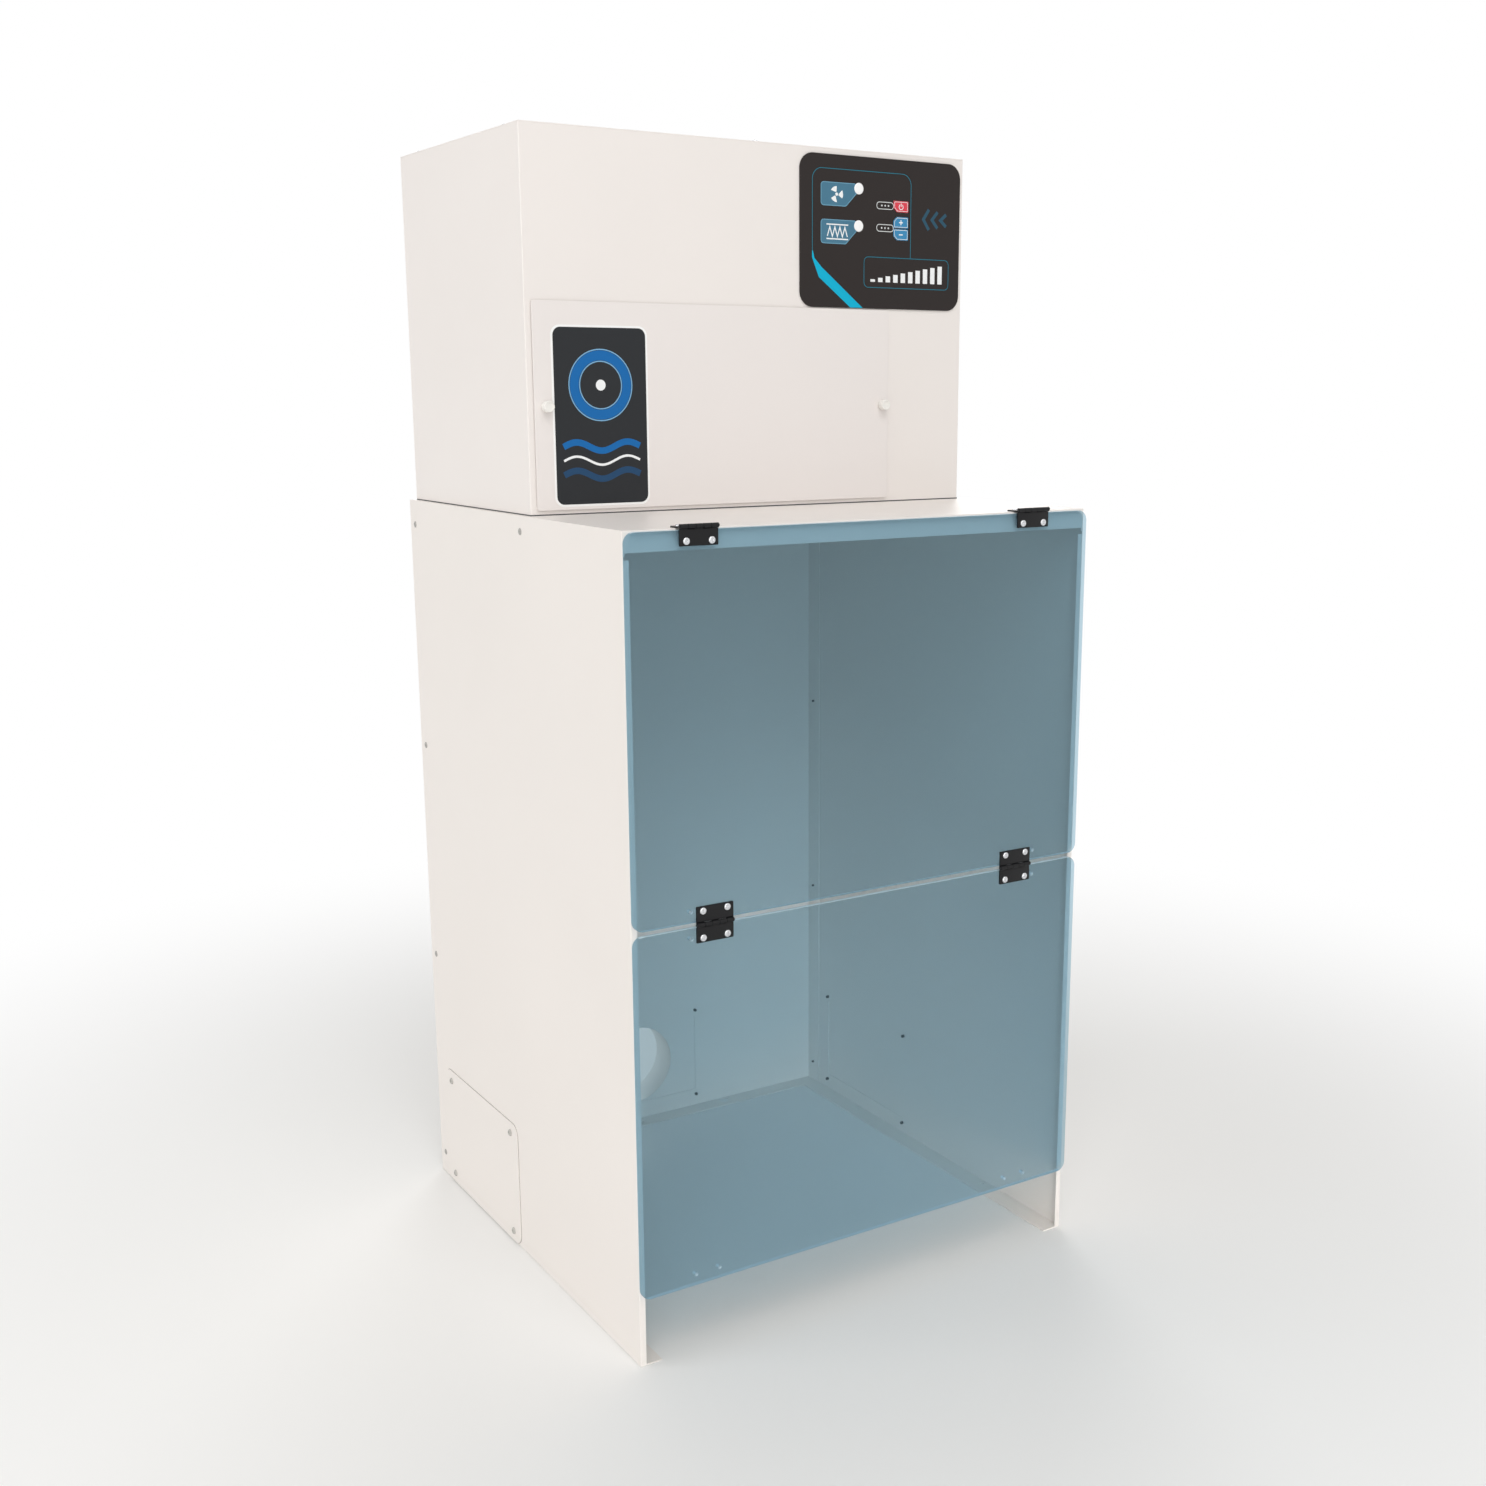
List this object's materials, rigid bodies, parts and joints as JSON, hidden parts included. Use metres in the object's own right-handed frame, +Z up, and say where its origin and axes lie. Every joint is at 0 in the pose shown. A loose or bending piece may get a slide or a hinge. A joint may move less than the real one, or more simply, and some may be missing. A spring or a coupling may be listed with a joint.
{
  "type": "containment cabinet",
  "caption": "Bench-top containment cabinet of folded sheet metal with a hinged folding acrylic front, side and rear ports, and a roof-mounted filter and blower housing.",
  "frame": {"origin": "middle of the cabinet's footprint on the bench, which is also the centre of the four bench holes", "axes": "+Z up, +X to the right of a person facing the panes, +Y from the panes to the back wall"},
  "size_m": [0.514, 0.5433, 1.118],
  "materials": {
    "cabinet_paint": "satin powder coat",
    "housing_paint": "satin powder coat",
    "door_paint": "satin powder coat",
    "tinted_acrylic": "clear, blue tint",
    "black_hinge": "black satin",
    "hinge_pin": "blackened",
    "screw_zinc": "bright zinc",
    "screw_painted": "satin",
    "rivet_painted": "satin",
    "galvanised": "satin",
    "grille_aluminium": "satin anodised",
    "light_diffuser": "frosted",
    "knob_plastic": "white, satin",
    "gasket_foam": "closed-cell foam",
    "overlay_charcoal": "fine-textured film",
    "key_red": "satin",
    "key_blue": "satin",
    "lens_white": "frosted",
    "board_green": "solder mask",
    "board_parts": "moulded",
    "brass": "machined",
    "inlet_plastic": "moulded",
    "exhaust_plastic": "moulded",
    "filter_card": "coated board",
    "filter_paper": "pleated fibre",
    "filter_mat": "white fibre mat",
    "hepa_metal": "mill",
    "seal_rubber": "sponge rubber",
    "motor_black": "satin",
    "impeller_metal": "pressed"
  },
  "bodies": {
    "cabinet": {"left_side_panel": "cabinet_paint", "right_side_panel": "cabinet_paint", "back_panel": "cabinet_paint", "roof_panel": "cabinet_paint", "wall_rivets": "rivet_painted", "left_port_cover": "cabinet_paint", "right_port_cover": "cabinet_paint", "rear_port_plate": "cabinet_paint", "port_screws": "screw_painted", "hose_collar": "cabinet_paint", "collar_rivets": "rivet_painted", "ceiling_grille": "grille_aluminium", "led_channel": "grille_aluminium", "led_diffuser": "light_diffuser", "housing_wrap": "housing_paint", "housing_base_rivets": "rivet_painted", "housing_lid": "housing_paint", "blower_casing": "galvanised", "blower_cover": "galvanised", "blower_motor": "motor_black", "motor_screws": "screw_zinc", "fan_deck": "galvanised", "filter_bay_wall": "galvanised", "filter_seat": "galvanised", "prefilter_frame": "filter_card", "prefilter_mat": "filter_mat", "hepa_frame": "hepa_metal", "filter_seal": "seal_rubber", "hepa_media": "filter_paper", "housing_rear_panel": "housing_paint", "exhaust_grille": "exhaust_plastic", "power_inlet": "inlet_plastic", "housing_screws": "screw_zinc", "door_knob_inserts": "brass", "keypad_overlay": "overlay_charcoal", "indicator_lenses": "lens_white", "control_board": "board_green", "board_standoffs": "brass", "board_components": "board_parts", "roof_hinge_roof_leaves": "black_hinge", "roof_hinge_roof_screws": "screw_zinc", "roof_hinge_pins": "hinge_pin"},
    "impeller": {"impeller": "impeller_metal", "motor_shaft": "galvanised"},
    "filter_door": {"filter_door": "door_paint", "door_gasket": "gasket_foam"},
    "left_knob": {"left_door_knob": "knob_plastic"},
    "right_knob": {"right_door_knob": "knob_plastic"},
    "power_key": {"power_key": "key_red"},
    "speed_up_key": {"speed_up_key": "key_blue"},
    "speed_down_key": {"speed_down_key": "key_blue"},
    "upper_window": {"upper_window": "tinted_acrylic", "roof_hinge_pane_leaves": "black_hinge", "upper_window_screws": "screw_zinc", "middle_hinge_upper_leaves": "black_hinge", "middle_hinge_pins": "hinge_pin"},
    "lower_window": {"lower_window": "tinted_acrylic", "middle_hinge_lower_leaves": "black_hinge", "lower_window_screws": "screw_zinc"}
  },
  "joints": [
    {"name": "window_lift", "type": "hinge", "parent": "cabinet", "child": "upper_window", "pos_m": [0, -0.2554, 0.7713], "axis": [-1, 0, 0], "range_deg": [0, 180]},
    {"name": "window_fold", "type": "hinge", "parent": "upper_window", "child": "lower_window", "pos_m": [0, -0.2554, 0.4184], "axis": [-1, 0, 0], "range_deg": [0, 165]},
    {"name": "filter_door_pull", "type": "slide", "parent": "cabinet", "child": "filter_door", "axis": [0, -1, 0], "range_m": [0, 0.06]},
    {"name": "left_knob_turn", "type": "hinge", "parent": "filter_door", "child": "left_knob", "pos_m": [-0.2306, -0.0524, 0.8687], "axis": [0, 1, 0], "continuous": true},
    {"name": "right_knob_turn", "type": "hinge", "parent": "filter_door", "child": "right_knob", "pos_m": [0.1457, -0.0524, 0.8687], "axis": [0, 1, 0], "continuous": true},
    {"name": "power_key_press", "type": "slide", "parent": "cabinet", "child": "power_key", "axis": [0, 1, 0], "range_m": [0, 0.0006], "stiffness_N_per_m": 1500, "springref_m": -0.0004},
    {"name": "speed_up_key_press", "type": "slide", "parent": "cabinet", "child": "speed_up_key", "axis": [0, 1, 0], "range_m": [0, 0.0006], "stiffness_N_per_m": 1500, "springref_m": -0.0004},
    {"name": "speed_down_key_press", "type": "slide", "parent": "cabinet", "child": "speed_down_key", "axis": [0, 1, 0], "range_m": [0, 0.0006], "stiffness_N_per_m": 1500, "springref_m": -0.0004},
    {"name": "impeller_spin", "type": "hinge", "parent": "cabinet", "child": "impeller", "pos_m": [-0.0958, 0.0726, 1], "axis": [0, 0, 1], "continuous": true}
  ]
}
